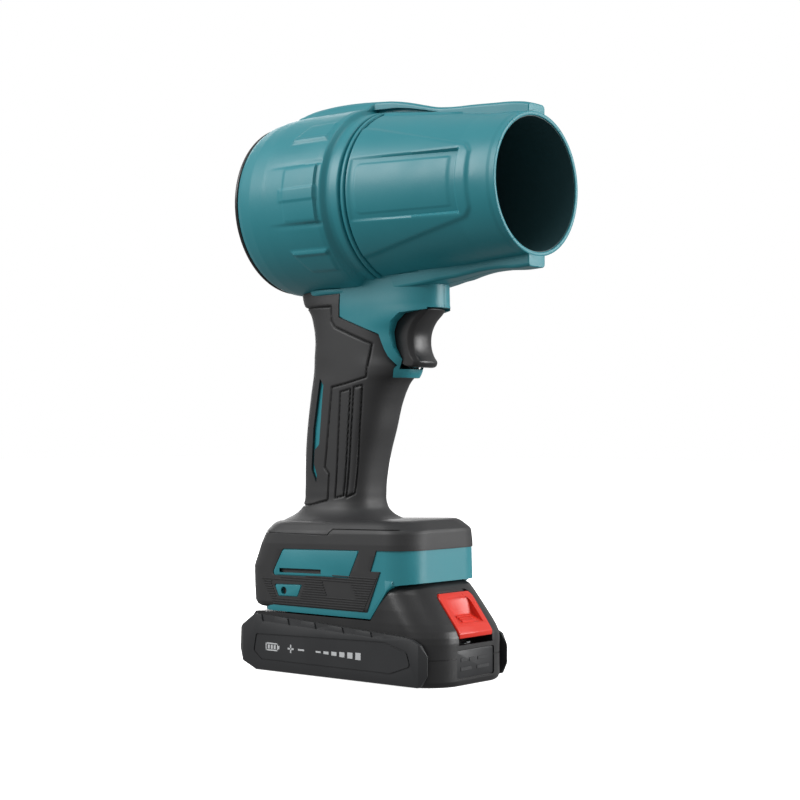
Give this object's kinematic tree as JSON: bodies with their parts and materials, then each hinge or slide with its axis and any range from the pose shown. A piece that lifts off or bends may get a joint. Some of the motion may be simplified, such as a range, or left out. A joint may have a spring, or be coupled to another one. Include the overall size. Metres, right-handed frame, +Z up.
{
  "type": "cordless leaf blower",
  "caption": "Handheld cordless air blower: round teal barrel with a tapered nozzle over a pistol grip, standing on a slide-on battery with a red release button.",
  "frame": {"origin": "centre of the battery's flat underside", "axes": "+Z up, +X the way the air leaves the nozzle, Y = 0 is the parting plane of the housing"},
  "size_m": [0.1759, 0.1, 0.3081],
  "materials": {
    "teal_plastic": "fine satin texture",
    "soft_rubber": "matte soft touch",
    "black_plastic": "fine spark texture",
    "red_plastic": "satin gloss",
    "steel": "turned",
    "copper": "enamelled winding",
    "brass": "turned",
    "circuit_board": "solder mask",
    "wire_cover": "extruded cover",
    "cell_wrap": "shrink wrap"
  },
  "bodies": {
    "housing": {"right_housing": "teal_plastic", "left_housing": "teal_plastic", "right_grip": "soft_rubber", "left_grip": "soft_rubber", "intake_grille": "black_plastic", "fan_duct": "black_plastic", "tail_cone": "black_plastic", "motor_end_cap": "black_plastic", "switch_body": "black_plastic", "terminal_block": "black_plastic", "rear_bearing": "steel", "front_bearing": "steel", "housing_screw_1": "steel", "housing_screw_2": "steel", "housing_screw_3": "steel", "housing_screw_4": "steel", "housing_screw_5": "steel", "housing_screw_6": "steel", "motor_stator": "copper", "hook_insert_right": "brass", "hook_insert_left": "brass", "terminal_blade_1": "brass", "terminal_blade_2": "brass", "control_board": "circuit_board", "motor_lead_1": "wire_cover", "motor_lead_2": "wire_cover", "motor_lead_3": "wire_cover", "switch_lead_1": "wire_cover", "switch_lead_2": "wire_cover"},
    "trigger": {"trigger": "black_plastic", "trigger_spring": "steel"},
    "rotor": {"impeller": "black_plastic", "motor_shaft": "steel", "rotor_magnet": "steel", "spinner_nut": "brass"},
    "battery": {"battery_lower_case": "black_plastic", "battery_upper_case": "black_plastic", "side_plate_right": "black_plastic", "side_plate_left": "black_plastic", "contact_block": "black_plastic", "battery_board": "circuit_board", "latch_spring": "steel", "battery_screw_1": "steel", "battery_screw_2": "steel", "battery_screw_3": "steel", "battery_screw_4": "steel", "cell_1": "cell_wrap", "cell_2": "cell_wrap", "cell_3": "cell_wrap", "cell_4": "cell_wrap", "cell_5": "cell_wrap"},
    "button": {"release_button": "red_plastic"}
  },
  "joints": [
    {"name": "trigger_pull", "type": "slide", "parent": "housing", "child": "trigger", "axis": [-1, 0, 0], "range_m": [0, 0.006], "stiffness_N_per_m": 600, "springref_m": -0.003},
    {"name": "fan_spin", "type": "hinge", "parent": "housing", "child": "rotor", "pos_m": [0, 0, 0.254], "axis": [1, 0, 0], "continuous": true},
    {"name": "battery_slide", "type": "slide", "parent": "housing", "child": "battery", "axis": [1, 0, 0], "range_m": [0, 0.1]},
    {"name": "button_press", "type": "slide", "parent": "battery", "child": "button", "axis": [0, 0, -1], "range_m": [0, 0.0025], "stiffness_N_per_m": 900, "springref_m": -0.002, "deforming": ["latch_spring"]}
  ]
}
